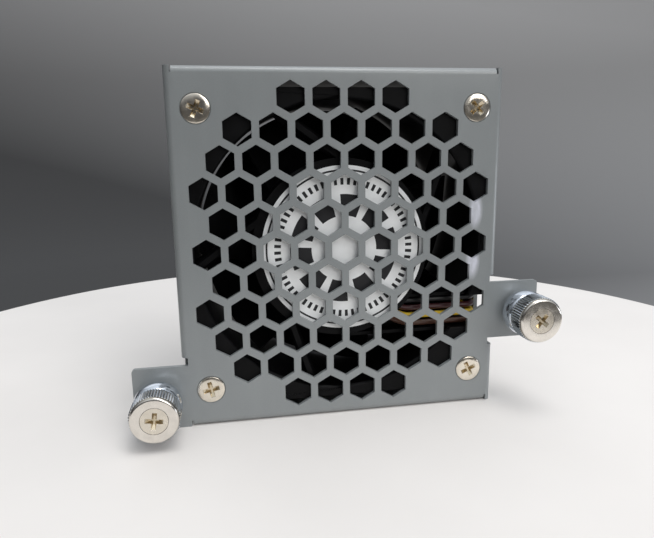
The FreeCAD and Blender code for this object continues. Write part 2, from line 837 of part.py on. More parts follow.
def connector_places():
    """Centres of the connector's four ways."""
    half = contact_pitch / 2
    return [(connector_x + sx * half, wire_middle_z + sz * half) for sz in (1, -1) for sx in (-1, 1)]


def make_connector_housing():
    """Four-way connector that snaps into the tab, open to the rear."""
    y0 = connector_front
    y1 = connector_front + connector_length
    half = connector_size / 2
    body = block(connector_x - half, connector_x + half, y0, y1, wire_middle_z - half, wire_middle_z + half)
    upright = [e for e in body.Edges if abs(e.tangentAt(0).y) > 0.9]
    body = body.makeChamfer(connector_edge, upright)
    wide = half + connector_lip
    lip = block(connector_x - wide, connector_x + wide, tab_front - connector_lip_depth, tab_front,
                wire_middle_z - wide, wire_middle_z + wide)
    cuts = []
    for x, z in connector_places():
        cuts.append(rod(wire_r + slip_gap, y0 - 1, y0 + lead_grip, x, z))
        cuts.append(block(x - socket_size / 2, x + socket_size / 2, y1 - contact_length - contact_inset,
                          y1 + 1, z - socket_size / 2, z + socket_size / 2))
    return body.fuse(lip).cut(Part.Compound(cuts)).removeSplitter()


def make_connector_contacts():
    """Round pins in the connector's sockets."""
    y1 = connector_front + connector_length
    pins = [rod(contact_r, y1 - contact_length - contact_inset, y1 - contact_inset, x, z)
            for x, z in connector_places()]
    return Part.Compound(pins)


def make_pieces():
    """Every piece by its name, about the fan axis."""
    pieces = {
        "bracket": make_bracket(),
        "fan_housing": make_fan_housing(),
        "motor_base": make_motor_base(),
        "hub_label": make_label(),
        "bearing_sleeve": make_sleeve(),
        "shaft": make_shaft(),
        "retaining_clip": make_clip(),
        "shaft_boss": make_shaft_boss(),
        "preload_washer": make_preload_washer(),
        "impeller": make_impeller(),
        "rotor_yoke": make_yoke(),
        "rotor_magnet": make_magnet(),
        "stator_core": make_stator_core(),
        "front_insulator": star(stator_front - insulator, stator_front, stator_r - shoe_depth),
        "rear_insulator": star(stator_back, stator_back + insulator, stator_r - shoe_depth),
        "stator_windings": make_windings(),
        "circuit_board": make_board(),
        "board_components": make_board_components(),
        "fan_screws": make_fan_screws(),
        "connector_housing": make_connector_housing(),
        "connector_contacts": make_connector_contacts(),
    }
    for name, y in (("front", front_bearing_y), ("rear", rear_bearing_y)):
        pieces[name + "_bearing_outer_race"] = outer_race(y)
        pieces[name + "_bearing_inner_race"] = inner_race(y)
    for place, colour in enumerate(("black", "red", "yellow", "brown")):
        pieces[colour + "_lead"] = make_lead(place)
    for (side, spot), degrees in zip(thumb_places.items(), thumb_turns):
        pieces[side + "_retainer"] = moved(make_retainer(), spot)
        pieces[side + "_spring"] = moved(make_thumb_spring(), spot)
        pieces[side + "_knob"] = moved(make_knob(), spot)
        pieces[side + "_thumb_screw"] = moved(make_thumb_screw(degrees), spot)
    return pieces


os.makedirs("parts", exist_ok=True)
for piece_name, piece in make_pieces().items():
    moved(piece, to_table).exportStep("parts/" + piece_name + ".step")
    print(piece_name, len(piece.Solids), piece.isValid(), round(piece.Volume, 2))
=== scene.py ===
"""Finishes and stage for a server fan module: a grille bracket, its axial fan and two thumbscrews."""

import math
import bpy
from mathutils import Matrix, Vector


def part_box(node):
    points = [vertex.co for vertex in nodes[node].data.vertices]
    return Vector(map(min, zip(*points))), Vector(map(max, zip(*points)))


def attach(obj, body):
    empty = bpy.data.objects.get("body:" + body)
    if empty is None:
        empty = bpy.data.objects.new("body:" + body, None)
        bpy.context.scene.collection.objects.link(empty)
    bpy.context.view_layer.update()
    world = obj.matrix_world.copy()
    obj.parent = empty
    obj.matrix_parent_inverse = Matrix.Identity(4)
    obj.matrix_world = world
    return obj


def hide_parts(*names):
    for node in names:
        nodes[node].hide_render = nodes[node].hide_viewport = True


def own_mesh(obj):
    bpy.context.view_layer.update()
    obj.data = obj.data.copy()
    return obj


bl_info = {
    "name": "Fan Module Looks",
    "version": (1, 0, 0),
    "blender": (4, 5, 0),
    "location": "View3D > Sidebar > Fan Module",
    "description": "Finishes, small details and the stage of a server fan module",
    "category": "Object",
}

import bmesh
import bpy
from bpy.props import FloatProperty, FloatVectorProperty, IntProperty, PointerProperty
from mathutils import Matrix, Vector

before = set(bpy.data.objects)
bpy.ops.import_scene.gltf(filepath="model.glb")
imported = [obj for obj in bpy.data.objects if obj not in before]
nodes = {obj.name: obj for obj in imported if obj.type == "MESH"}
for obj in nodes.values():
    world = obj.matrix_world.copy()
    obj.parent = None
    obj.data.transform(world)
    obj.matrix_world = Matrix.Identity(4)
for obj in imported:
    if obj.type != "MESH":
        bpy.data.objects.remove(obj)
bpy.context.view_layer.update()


# Places read from the frame, in metres
def corners(name):
    """Lowest and highest corner of a frame piece."""
    return tuple(Vector(corner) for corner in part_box(name))


def middle(name):
    """Centre of a frame piece's box."""
    low, high = corners(name)
    return (low + high) / 2


label_centre = middle("hub_label")
label_radius = (corners("hub_label")[1] - label_centre).x
motor_centre = middle("shaft")
plate_front = corners("bracket")[0].y
weld_distance = 1e-6

# Steps that make up round forms
table_steps = 160
backdrop_steps = 96
sweep_steps = 12
rim_steps = 6
collar_steps = 16
coil_steps = 32
wire_sides = 8

# Turns of the screws' crosses, in degrees
fan_screw_turns = {("left", "top"): 22.0, ("right", "top"): 50.0,
                   ("left", "bottom"): -12.0, ("right", "bottom"): -24.0}
thumb_screw_turns = {"left": 8.0, "right": 40.0}

# Floor of a driver recess as shares of its length, width and depth
recess_floor_length = 0.8
recess_floor_width = 0.4
recess_floor_depth = 0.8

# Rings of the label's print, as shares of its radius, and how much of a wave prints
block_ring = (0.40, 0.66)
tick_ring = (0.77, 0.85)
rim_line = 0.022
block_level = -0.6
tick_level = 0.1

# Fine lines on the metal, in metres from one to the next
turning_pitch = 0.00022
winding_pitch = 0.00035

# Colours of the small inner pieces, as linear values
# Pale bluish colour of two painted highlights (glare spots) on the paint beside the grille
glare_colour = (0.66, 0.67, 0.74)
wire_colour = (0.50, 0.50, 0.52)
nylon_colour = (0.66, 0.63, 0.55)
contact_colour = (0.66, 0.60, 0.45)
lead_colours = {
    "black": (0.009, 0.009, 0.010),
    # The red is darkened far below a plain red wire: painted shade
    "red": (0.052, 0.006, 0.008),
    "yellow": (0.92, 0.60, 0.035),
    "brown": (0.085, 0.036, 0.022),
}
brass_colour = (0.72, 0.52, 0.22)
ground_colour = (0.60, 0.60, 0.61)
pressed_colour = (0.38, 0.38, 0.39)
resin_colour = (0.72, 0.68, 0.56)
ferrite_colour = (0.055, 0.050, 0.050)
copper_colour = (0.60, 0.24, 0.09)
board_colour = (0.02, 0.13, 0.05)
chip_colour = (0.022, 0.022, 0.024)

# Backdrop's painted light and shade: slope of its brightening to the right, lift towards the front and the
# heights it fades over
wall_slope = 0.32
front_lift = 0.24
front_reach = (-0.30, 0.15)
wall_fade = (0.0, 0.24)

# Lights: place, width and height in metres, and colour
light_target = Vector((0.0, 0.0, 0.04))
lights = {
    "overhead": ((0.12, -0.20, 0.72), 0.26, 0.60, (1.0, 1.0, 1.0)),
    "front": ((0.42, -0.75, 0.45), 0.50, 0.40, (1.0, 0.98, 0.95)),
    "strip": ((0.26, -0.10, 0.022), 0.12, 0.05, (0.85, 0.90, 1.0)),
    "rear": ((-0.25, 0.65, 0.50), 0.60, 0.40, (1.0, 1.0, 1.0)),
}

# Room light from straight down to straight up, and its strength from left to right
room_colours = [(0.0, (0.30, 0.29, 0.28)), (0.47, (0.10, 0.098, 0.095)), (0.58, (0.09, 0.09, 0.095)),
                (0.74, (0.50, 0.52, 0.55)), (1.0, (1.1, 1.15, 1.2))]
room_strength = (0.60, 1.30)

# Camera sensor in millimetres and nearest distance in metres
sensor_width = 36.0
nearest = 0.005


class ModuleSizes(bpy.types.PropertyGroup):
    """Sizes of the details that the finishes add."""

    paint_edge: FloatProperty(
        name="Paint edge", description="Rounding of the painted sheet's edges",
        default=0.00018, unit="LENGTH")
    plastic_edge: FloatProperty(
        name="Plastic edge", description="Rounding of the fan's moulded edges",
        default=0.00018, unit="LENGTH")
    metal_edge: FloatProperty(
        name="Metal edge", description="Rounding of the turned metal pieces' edges",
        default=0.00006, unit="LENGTH")
    smooth_angle: FloatProperty(
        name="Smooth angle", description="Edges flatter than this shade smoothly",
        default=math.radians(28), subtype="ANGLE")
    # The warm plating on the face is a painted reflection of the pale table
    face_skin: FloatProperty(
        name="Face skin", description="Depth of the warm plating on a thumbscrew's face",
        default=0.0002, unit="LENGTH")
    screw_head: FloatProperty(
        name="Screw head", description="Radius of a fan screw's head", default=0.0030, unit="LENGTH")
    recess_depth: FloatProperty(
        name="Recess depth", description="Depth of a screw's cross recess", default=0.0010, unit="LENGTH")
    recess_reach: FloatProperty(
        name="Recess reach", description="Length of a recess's arm from its middle",
        default=0.00180, unit="LENGTH")
    recess_width: FloatProperty(
        name="Recess width", description="Width of a recess's arm", default=0.00098, unit="LENGTH")
    recess_floor: FloatProperty(
        name="Recess floor", description="Length of a recess's arm at its floor",
        default=0.00116, unit="LENGTH")
    rim_round: FloatProperty(
        name="Rim round", description="Rounding of a thumbscrew's rim", default=0.0006, unit="LENGTH")
    knurl_ridges: IntProperty(
        name="Knurl ridges", description="Number of ridges round a thumbscrew", default=56)
    knurl_depth: FloatProperty(
        name="Knurl depth", description="Depth of the grooves round the thumbscrews",
        default=0.00026, unit="LENGTH")
    knurl_end: FloatProperty(
        name="Knurl end", description="Distance of the knurl's far end from the thumbscrew's face",
        default=0.0048, unit="LENGTH")
    neck_depth: FloatProperty(
        name="Neck depth", description="Depth of the groove between knurl and collar",
        default=0.00068, unit="LENGTH")
    collar_length: FloatProperty(
        name="Collar length", description="Length of the smooth domed collar behind the knurl",
        default=0.0054, unit="LENGTH")
    collar_end: FloatProperty(
        name="Collar end", description="Radius at the rear of the domed collar",
        default=0.0036, unit="LENGTH")
    knob_wall: FloatProperty(
        name="Knob wall", description="Wall of a thumbscrew's cap", default=0.00095, unit="LENGTH")
    knob_lip: FloatProperty(
        name="Knob lip", description="Lip that holds a thumbscrew's cap on its retainer",
        default=0.0008, unit="LENGTH")
    knob_face: FloatProperty(
        name="Knob face", description="Thickness of a thumbscrew's face", default=0.0018, unit="LENGTH")
    seat_depth: FloatProperty(
        name="Seat depth", description="Depth of the screw's seat in a thumbscrew's face",
        default=0.00128, unit="LENGTH")
    seat_gap: FloatProperty(
        name="Seat gap", description="Seam between a thumbscrew's face and its screw",
        default=0.00008, unit="LENGTH")
    spring_wire: FloatProperty(
        name="Spring wire", description="Thickness of the springs' wire", default=0.0004, unit="LENGTH")
    spring_turns: IntProperty(name="Spring turns", description="Turns of each spring", default=5)
    press_travel: FloatProperty(
        name="Press travel", description="How far a knob can be pressed", default=0.0009, unit="LENGTH")
    shank: FloatProperty(
        name="Shank", description="Radius of the hole behind a thumbscrew's seat",
        default=0.00122, unit="LENGTH")
    # Upper and lower places and their reach set two painted highlights (glare spots) on the paint beside
    # the grille
    upper_glare: FloatVectorProperty(
        name="Upper rub", description="Upper worn place on the paint, from the middle of the label",
        subtype="XYZ", unit="LENGTH", default=(0.0306, 0.0, 0.0077))
    lower_glare: FloatVectorProperty(
        name="Lower rub", description="Lower worn place on the paint, from the middle of the label",
        subtype="XYZ", unit="LENGTH", default=(0.0303, 0.0, -0.0042))
    glare_reach: FloatVectorProperty(
        name="Rub reach", description="Half width, depth and height of a worn place",
        subtype="XYZ", unit="LENGTH", default=(0.0019, 0.0100, 0.0046))
    label_rim: FloatProperty(
        name="Label rim", description="Radius of the printed rim line as a share of the label",
        default=0.93, subtype="FACTOR")
    label_blocks: IntProperty(
        name="Label blocks", description="Number of printed blocks in the label's broad ring", default=10)
    label_ticks: IntProperty(
        name="Label ticks", description="Number of printed ticks in the label's fine ring", default=64)


class ModuleColours(bpy.types.PropertyGroup):
    """Colours of the finishes, as linear values."""

    paint: FloatVectorProperty(
        name="Paint", description="Grey paint of the bracket", subtype="COLOR",
        default=(0.238, 0.254, 0.257))
    plastic: FloatVectorProperty(
        name="Plastic", description="Black plastic of the fan", subtype="COLOR",
        default=(0.0022, 0.0022, 0.0025))
    label: FloatVectorProperty(
        name="Label", description="Ground of the hub label", subtype="COLOR", default=(0.84, 0.85, 0.85))
    print_ink: FloatVectorProperty(
        name="Label print", description="Ink on the hub label", subtype="COLOR",
        default=(0.02, 0.02, 0.022))
    # The plating's blue tint is a painted reflection of bluish light
    nickel: FloatVectorProperty(
        name="Nickel", description="Plating of the thumbscrews", subtype="COLOR",
        default=(0.72, 0.77, 0.84))
    # Darker colour in the knurl's grooves: painted shade
    groove: FloatVectorProperty(
        name="Knurl groove", description="Grooves between the thumbscrews' ridges", subtype="COLOR",
        default=(0.48, 0.45, 0.40))
    # Warm cream on the thumbscrews' faces: painted reflection of the pale table
    table_reflection_face: FloatVectorProperty(
        name="Warm face", description="Plating on the thumbscrews' faces", subtype="COLOR",
        default=(0.77, 0.73, 0.67))
    screw: FloatVectorProperty(
        name="Screw plating", description="Plating of the screws", subtype="COLOR",
        default=(0.80, 0.74, 0.64))
    # Darker, warmer plating inside the screws' cross recesses: painted shade
    recess: FloatVectorProperty(
        name="Screw recess", description="Inside of the screws' cross recesses", subtype="COLOR",
        default=(0.66, 0.57, 0.42))
    table: FloatVectorProperty(
        name="Table", description="Round pale table", subtype="COLOR", default=(0.81, 0.775, 0.745))
    # Foot and top greys of the backdrop's painted light and shade
    wall_low: FloatVectorProperty(
        name="Wall foot", description="Grey backdrop where it meets the table", subtype="COLOR",
        default=(0.050, 0.050, 0.051))
    wall_high: FloatVectorProperty(
        name="Wall top", description="Grey backdrop above the object", subtype="COLOR",
        default=(0.45, 0.45, 0.455))


class ModuleStage(bpy.types.PropertyGroup):
    """The camera's place and the light level."""

    camera_offset: FloatVectorProperty(
        name="Camera offset", description="Camera from the middle of the grille's front",
        subtype="XYZ", unit="LENGTH", default=(-0.0259, -0.1252, 0.0217))
    camera_forward: FloatVectorProperty(
        name="Camera direction", description="Direction that the camera looks in",
        subtype="XYZ", default=(0.16697, 0.96548, -0.19994))
    camera_up: FloatVectorProperty(
        name="Camera up", description="Direction that is up in the picture",
        subtype="XYZ", default=(0.0492, 0.19438, 0.97969))
    lens: FloatProperty(name="Lens", description="Focal length in millimetres", default=31.88)
    table_centre: FloatVectorProperty(
        name="Table centre", description="Middle of the round table",
        subtype="XYZ", unit="LENGTH", default=(-0.0014, 0.0137, 0.0))
    table_radius: FloatProperty(
        name="Table radius", description="Radius of the round table", default=0.1437, unit="LENGTH")
    table_height: FloatProperty(
        name="Table height", description="Height of the table over the backdrop",
        default=0.012, unit="LENGTH")
    wall_radius: FloatProperty(
        name="Wall radius", description="Radius of the round backdrop", default=0.40, unit="LENGTH")
    wall_height: FloatProperty(
        name="Wall height", description="Height of the round backdrop", default=0.60, unit="LENGTH")
    key_power: FloatProperty(
        name="Key light", description="Power of the overhead light", default=2.3, unit="POWER")
    fill_power: FloatProperty(
        name="Fill light", description="Power of the front light", default=2.1, unit="POWER")
    strip_power: FloatProperty(
        name="Strip light", description="Power of the low side light", default=0.09, unit="POWER")
    rear_power: FloatProperty(
        name="Rear light", description="Power of the rear light", default=0.3, unit="POWER")


# Node tree helpers
def new_finish(name):
    """Material with only a shader and an output; returns it with its tree and shader."""
    material = bpy.data.materials.new(name)
    material.use_nodes = True
    tree = material.node_tree
    return material, tree, tree.nodes["Principled BSDF"]


def place_on(tree):
    """Socket with the place on the piece, in metres."""
    return tree.nodes.new("ShaderNodeTexCoord").outputs["Object"]


def axes_of(tree, vector):
    """X, Y and Z sockets of a vector."""
    split = tree.nodes.new("ShaderNodeSeparateXYZ")
    tree.links.new(vector, split.inputs["Vector"])
    return split.outputs["X"], split.outputs["Y"], split.outputs["Z"]


def noise(tree, grain, detail=3.0, stretch=(1.0, 1.0, 1.0)):
    """Noise whose cells are about one grain across, in metres."""
    mapping = tree.nodes.new("ShaderNodeMapping")
    mapping.inputs["Scale"].default_value = stretch
    tree.links.new(place_on(tree), mapping.inputs["Vector"])
    texture = tree.nodes.new("ShaderNodeTexNoise")
    texture.inputs["Scale"].default_value = 1.0 / grain
    texture.inputs["Detail"].default_value = detail
    tree.links.new(mapping.outputs["Vector"], texture.inputs["Vector"])
    return texture.outputs["Fac"]


def ramp(tree, factor, stops):
    """Colours along a factor; each stop is a place and a linear colour."""
    node = tree.nodes.new("ShaderNodeValToRGB")
    elements = node.color_ramp.elements
    while len(elements) < len(stops):
        elements.new(0.5)
    for element, (place, colour) in zip(elements, stops):
        element.position = place
        element.color = (*colour, 1.0)
    tree.links.new(factor, node.inputs["Fac"])
    return node.outputs["Color"]


def mixed(tree, factor, first, second):
    """Two colours, sockets or values, mixed by a factor's socket."""
    node = tree.nodes.new("ShaderNodeMix")
    node.data_type = "RGBA"
    for value, socket in ((factor, node.inputs[0]), (first, node.inputs[6]), (second, node.inputs[7])):
        if isinstance(value, bpy.types.NodeSocket):
            tree.links.new(value, socket)
        else:
            socket.default_value = (*value, 1.0)
    return node.outputs[2]


def mapped(tree, factor, low, high, start=0.3, end=0.7):
    """Number between two values, following a factor."""
    node = tree.nodes.new("ShaderNodeMapRange")
    node.inputs["From Min"].default_value = start
    node.inputs["From Max"].default_value = end
    node.inputs["To Min"].default_value = low
    node.inputs["To Max"].default_value = high
    tree.links.new(factor, node.inputs["Value"])
    return node.outputs["Result"]


def sums(tree, operation, first, second):
    """Arithmetic on sockets or numbers."""
    node = tree.nodes.new("ShaderNodeMath")
    node.operation = operation
    for value, socket in zip((first, second), node.inputs):
        if isinstance(value, bpy.types.NodeSocket):
            tree.links.new(value, socket)
        else:
            socket.default_value = value
    return node.outputs["Value"]


def within(tree, value, low, high):
    """One where a value lies between two numbers, and zero elsewhere."""
    above = sums(tree, "GREATER_THAN", value, low)
    below = sums(tree, "LESS_THAN", value, high)
    return sums(tree, "MULTIPLY", above, below)


def add_bump(tree, shader, height, depth, strength=0.5):
    """Bump of a given depth in metres."""
    node = tree.nodes.new("ShaderNodeBump")
    node.inputs["Strength"].default_value = strength
    node.inputs["Distance"].default_value = depth
    tree.links.new(height, node.inputs["Height"])
    tree.links.new(node.outputs["Normal"], shader.inputs["Normal"])


def shade(colour, share):
    """Colour made lighter or darker by a share."""
    return tuple(min(1.0, max(0.0, c * (1 + share))) for c in colour)


def offset_from(tree, centre):
    """Place on the piece measured from a point."""
    shift = tree.nodes.new("ShaderNodeVectorMath")
    shift.operation = "SUBTRACT"
    shift.inputs[1].default_value = centre
    tree.links.new(place_on(tree), shift.inputs[0])
    return shift.outputs["Vector"]


def from_axis(tree, centre):
    """Distance from an axis along Y and the angle round it, as sockets."""
    x, z = axes_of(tree, offset_from(tree, centre))[::2]
    squares = sums(tree, "ADD", sums(tree, "MULTIPLY", x, x), sums(tree, "MULTIPLY", z, z))
    return sums(tree, "SQRT", squares, 0.0), sums(tree, "ARCTAN2", z, x)


def near(tree, centre, reach):
    """One at a point, falling to zero at a reach along each axis."""
    scale = tree.nodes.new("ShaderNodeVectorMath")
    scale.operation = "DIVIDE"
    scale.inputs[1].default_value = reach
    tree.links.new(offset_from(tree, centre), scale.inputs[0])
    length = tree.nodes.new("ShaderNodeVectorMath")
    length.operation = "LENGTH"
    tree.links.new(scale.outputs["Vector"], length.inputs[0])
    return mapped(tree, length.outputs["Value"], 1.0, 0.0, 0.5, 1.0)


# Finishes
def grey_paint(colour, sizes):
    """Satin paint with a fine orange peel, soft patches, pale rubs and two painted highlights (glare spots)
    by the grille.
    """
    material, tree, shader = new_finish("grey_paint")
    fine = noise(tree, 0.00018, 2.0)
    broad = noise(tree, 0.014, 4.0)
    rubs = noise(tree, 0.004, 3.0, (1.0, 1.0, 0.25))
    glare_noise = noise(tree, 0.0012, 3.0, (1.0, 1.0, 0.4))
    speckled = ramp(tree, fine, [(0.3, shade(colour, -0.06)), (0.7, shade(colour, 0.06))])
    patched = mixed(tree, ramp(tree, broad, [(0.35, (0, 0, 0)), (0.75, (0.5, 0.5, 0.5))]),
                    speckled, shade(colour, 0.10))
    rubbed = ramp(tree, rubs, [(0.45, (0, 0, 0)), (0.90, (0.20, 0.20, 0.20))])
    worn = mixed(tree, rubbed, patched, shade(colour, 0.4))
    # Two painted highlights: pale bluish glare spots on the paint beside the grille
    upper, lower = (near(tree, label_centre + Vector(place), tuple(sizes.glare_reach))
                    for place in (sizes.upper_glare, sizes.lower_glare))
    glare_mask = sums(tree, "MULTIPLY", sums(tree, "MAXIMUM", upper, lower), mapped(tree, glare_noise, 0.55, 1.0))
    tree.links.new(mixed(tree, glare_mask, worn, glare_colour), shader.inputs["Base Color"])
    tree.links.new(mapped(tree, broad, 0.28, 0.36), shader.inputs["Roughness"])
    shader.inputs["Specular IOR Level"].default_value = 0.75
    add_bump(tree, shader, noise(tree, 0.0006, 2.0), 0.00002, 0.3)
    return material


def black_plastic(name, colour, gloss, sheen):
    """Moulded plastic with faint flow streaks and a soft gloss."""
    material, tree, shader = new_finish(name)
    flow = noise(tree, 0.006, 5.0, (1.0, 0.3, 1.0))
    tree.links.new(ramp(tree, flow, [(0.3, shade(colour, -0.3)), (0.75, shade(colour, 0.8))]),
                   shader.inputs["Base Color"])
    tree.links.new(mapped(tree, flow, gloss - 0.06, gloss + 0.10), shader.inputs["Roughness"])
    shader.inputs["Specular IOR Level"].default_value = sheen
    add_bump(tree, shader, noise(tree, 0.00035, 3.0), 0.000015, 0.3)
    return material


def printed_label(colours, sizes):
    """Silver-white foil with a plain rim line, a fine ring of ticks and a broad ring of blocks."""
    material, tree, shader = new_finish("printed_label")
    radius, angle = from_axis(tree, label_centre)
    share = sums(tree, "DIVIDE", radius, label_radius)
    ground = ramp(tree, noise(tree, 0.0025, 5.0),
                  [(0.3, shade(colours.label, -0.05)), (0.7, shade(colours.label, 0.04))])
    rim = within(tree, share, sizes.label_rim, sizes.label_rim + rim_line)
    wave = sums(tree, "SINE", sums(tree, "MULTIPLY", angle, float(sizes.label_blocks)), 0.0)
    blocks = sums(tree, "MULTIPLY", within(tree, share, *block_ring),
                  sums(tree, "GREATER_THAN", wave, block_level))
    teeth = sums(tree, "SINE", sums(tree, "MULTIPLY", angle, float(sizes.label_ticks)), 0.0)
    ticks = sums(tree, "MULTIPLY", within(tree, share, *tick_ring),
                 sums(tree, "GREATER_THAN", teeth, tick_level))
    ink = sums(tree, "MAXIMUM", sums(tree, "MAXIMUM", rim, blocks), ticks)
    tree.links.new(mixed(tree, ink, ground, tuple(colours.print_ink)), shader.inputs["Base Color"])
    tree.links.new(mapped(tree, noise(tree, 0.0012, 3.0), 0.34, 0.44), shader.inputs["Roughness"])
    shader.inputs["Specular IOR Level"].default_value = 0.3
    add_bump(tree, shader, noise(tree, 0.0009, 2.0), 0.000008, 0.3)
    return material


def plated(name, colour, rough):
    """Bright plating with small dull patches."""
    material, tree, shader = new_finish(name)
    patches = noise(tree, 0.0016, 5.0)
    tree.links.new(ramp(tree, patches, [(0.3, shade(colour, -0.12)), (0.7, shade(colour, 0.04))]),
                   shader.inputs["Base Color"])
    tree.links.new(mapped(tree, patches, rough - 0.05, rough + 0.09), shader.inputs["Roughness"])
    shader.inputs["Metallic"].default_value = 1.0
    add_bump(tree, shader, noise(tree, 0.0003, 3.0), 0.000008, 0.3)
    return material


def turned_nickel(name, knob, colours, sizes):
    """Bright plating with faint turning lines, a warm face that is a painted reflection of the pale table,
    and painted shade in the grooves between the knurl's ridges.
    """
    material, tree, shader = new_finish(name)
    low, high = corners(knob)
    knob_radius = (high.x - low.x) / 2
    face_back = low.y + sizes.face_skin
    depth = axes_of(tree, place_on(tree))[1]
    radius = from_axis(tree, (low + high) / 2)[0]
    patches = noise(tree, 0.0016, 5.0)
    # Body plating from the blue-tinted nickel, whose tint is a painted reflection of bluish light
    body = ramp(tree, patches, [(0.3, shade(colours.nickel, -0.12)), (0.7, shade(colours.nickel, 0.04))])
    # Warm cream on the face: painted reflection of the pale table
    warm = ramp(tree, patches,
                [(0.3, shade(colours.table_reflection_face, -0.10)), (0.7, shade(colours.table_reflection_face, 0.06))])
    faced = mixed(tree, sums(tree, "LESS_THAN", depth, face_back), body, warm)
    # The knurl's grooves are darkened: painted shade
    sunk = mapped(tree, radius, 1.0, 0.0,
                  knob_radius - sizes.knurl_depth, knob_radius - sizes.knurl_depth / 4)
    grooves = sums(tree, "MULTIPLY", sunk, within(tree, depth, face_back, low.y + sizes.knurl_end))
    tree.links.new(mixed(tree, grooves, faced, tuple(colours.groove)), shader.inputs["Base Color"])
    tree.links.new(mapped(tree, patches, 0.11, 0.22), shader.inputs["Roughness"])
    shader.inputs["Metallic"].default_value = 1.0
    lines = sums(tree, "SINE", sums(tree, "MULTIPLY", radius, 2 * math.pi / turning_pitch), 0.0)
    add_bump(tree, shader, lines, 0.000004, 0.35)
    return material


def vinyl(name, colour):
    """Wire insulation with a soft sheen and slight scuffs."""
    material, tree, shader = new_finish(name)
    scuffs = noise(tree, 0.0012, 5.0)
    tree.links.new(ramp(tree, scuffs, [(0.3, shade(colour, -0.15)), (0.72, shade(colour, 0.15))]),
                   shader.inputs["Base Color"])
    tree.links.new(mapped(tree, scuffs, 0.34, 0.48), shader.inputs["Roughness"])
    add_bump(tree, shader, noise(tree, 0.0004, 2.0), 0.000012, 0.3)
    return material


def moulded(name, colour, rough):
    """Plain moulded plastic with a fine grain."""
    material, tree, shader = new_finish(name)
    clouds = noise(tree, 0.003, 4.0)
    tree.links.new(ramp(tree, clouds, [(0.3, shade(colour, -0.08)), (0.7, shade(colour, 0.08))]),
                   shader.inputs["Base Color"])
    tree.links.new(mapped(tree, clouds, rough - 0.05, rough + 0.06), shader.inputs["Roughness"])
    add_bump(tree, shader, noise(tree, 0.00025, 2.0), 0.00001, 0.4)
    return material


def bare_metal(name, colour, rough, grain):
    """Bare metal with a fine drawn or stamped grain."""
    material, tree, shader = new_finish(name)
    lines = noise(tree, grain, 4.0, (1.0, 0.15, 1.0))
    tree.links.new(ramp(tree, lines, [(0.3, shade(colour, -0.15)), (0.7, shade(colour, 0.10))]),
                   shader.inputs["Base Color"])
    tree.links.new(mapped(tree, lines, rough - 0.06, rough + 0.08), shader.inputs["Roughness"])
    shader.inputs["Metallic"].default_value = 1.0
    add_bump(tree, shader, lines, 0.000008, 0.3)
    return material


def wound_wire(colour):
    """Enamelled copper laid turn beside turn."""
    material, tree, shader = new_finish("wound_wire")
    radius = from_axis(tree, motor_centre)[0]
    turns = sums(tree, "SINE", sums(tree, "MULTIPLY", radius, 2 * math.pi / winding_pitch), 0.0)
    # The valleys between turns are darker: painted shade
    tree.links.new(ramp(tree, turns, [(0.0, shade(colour, -0.5)), (0.6, shade(colour, 0.1))]),
                   shader.inputs["Base Color"])
    tree.links.new(mapped(tree, noise(tree, 0.001, 3.0), 0.25, 0.38), shader.inputs["Roughness"])
    shader.inputs["Metallic"].default_value = 0.9
    add_bump(tree, shader, turns, 0.00006, 0.6)
    return material


def board_mask(colour):
    """Solder mask with traces just under it."""
    material, tree, shader = new_finish("board_mask")
    texture = tree.nodes.new("ShaderNodeTexVoronoi")
    texture.feature = "DISTANCE_TO_EDGE"
    texture.inputs["Scale"].default_value = 420.0
    tree.links.new(place_on(tree), texture.inputs["Vector"])
    traces = ramp(tree, texture.outputs["Distance"], [(0.04, shade(colour, 0.8)), (0.08, tuple(colour))])
    tree.links.new(traces, shader.inputs["Base Color"])
    tree.links.new(mapped(tree, noise(tree, 0.002), 0.28, 0.36), shader.inputs["Roughness"])
    add_bump(tree, shader, texture.outputs["Distance"], 0.00002, 0.3)
    return material


# Piece helpers
def smooth_faces(angle):
    """Geometry nodes that shade a piece smoothly, apart from edges sharper than an angle."""
    group = bpy.data.node_groups.get("smooth_faces")
    if group is not None:
        return group
    group = bpy.data.node_groups.new("smooth_faces", "GeometryNodeTree")
    group.interface.new_socket("Geometry", in_out="INPUT", socket_type="NodeSocketGeometry")
    group.interface.new_socket("Geometry", in_out="OUTPUT", socket_type="NodeSocketGeometry")
    start = group.nodes.new("NodeGroupInput")
    end = group.nodes.new("NodeGroupOutput")
    faces = group.nodes.new("GeometryNodeSetShadeSmooth")
    edges = group.nodes.new("GeometryNodeSetShadeSmooth")
    edges.domain = "EDGE"
    edges.inputs["Shade Smooth"].default_value = False
    turn = group.nodes.new("GeometryNodeInputMeshEdgeAngle")
    sharp = group.nodes.new("FunctionNodeCompare")
    sharp.data_type = "FLOAT"
    sharp.operation = "GREATER_THAN"
    sharp.inputs["B"].default_value = angle
    group.links.new(turn.outputs["Unsigned Angle"], sharp.inputs["A"])
    group.links.new(sharp.outputs["Result"], edges.inputs["Selection"])
    group.links.new(start.outputs["Geometry"], faces.inputs["Geometry"])
    group.links.new(faces.outputs["Geometry"], edges.inputs["Geometry"])
    group.links.new(edges.outputs["Geometry"], end.inputs["Geometry"])
    return group


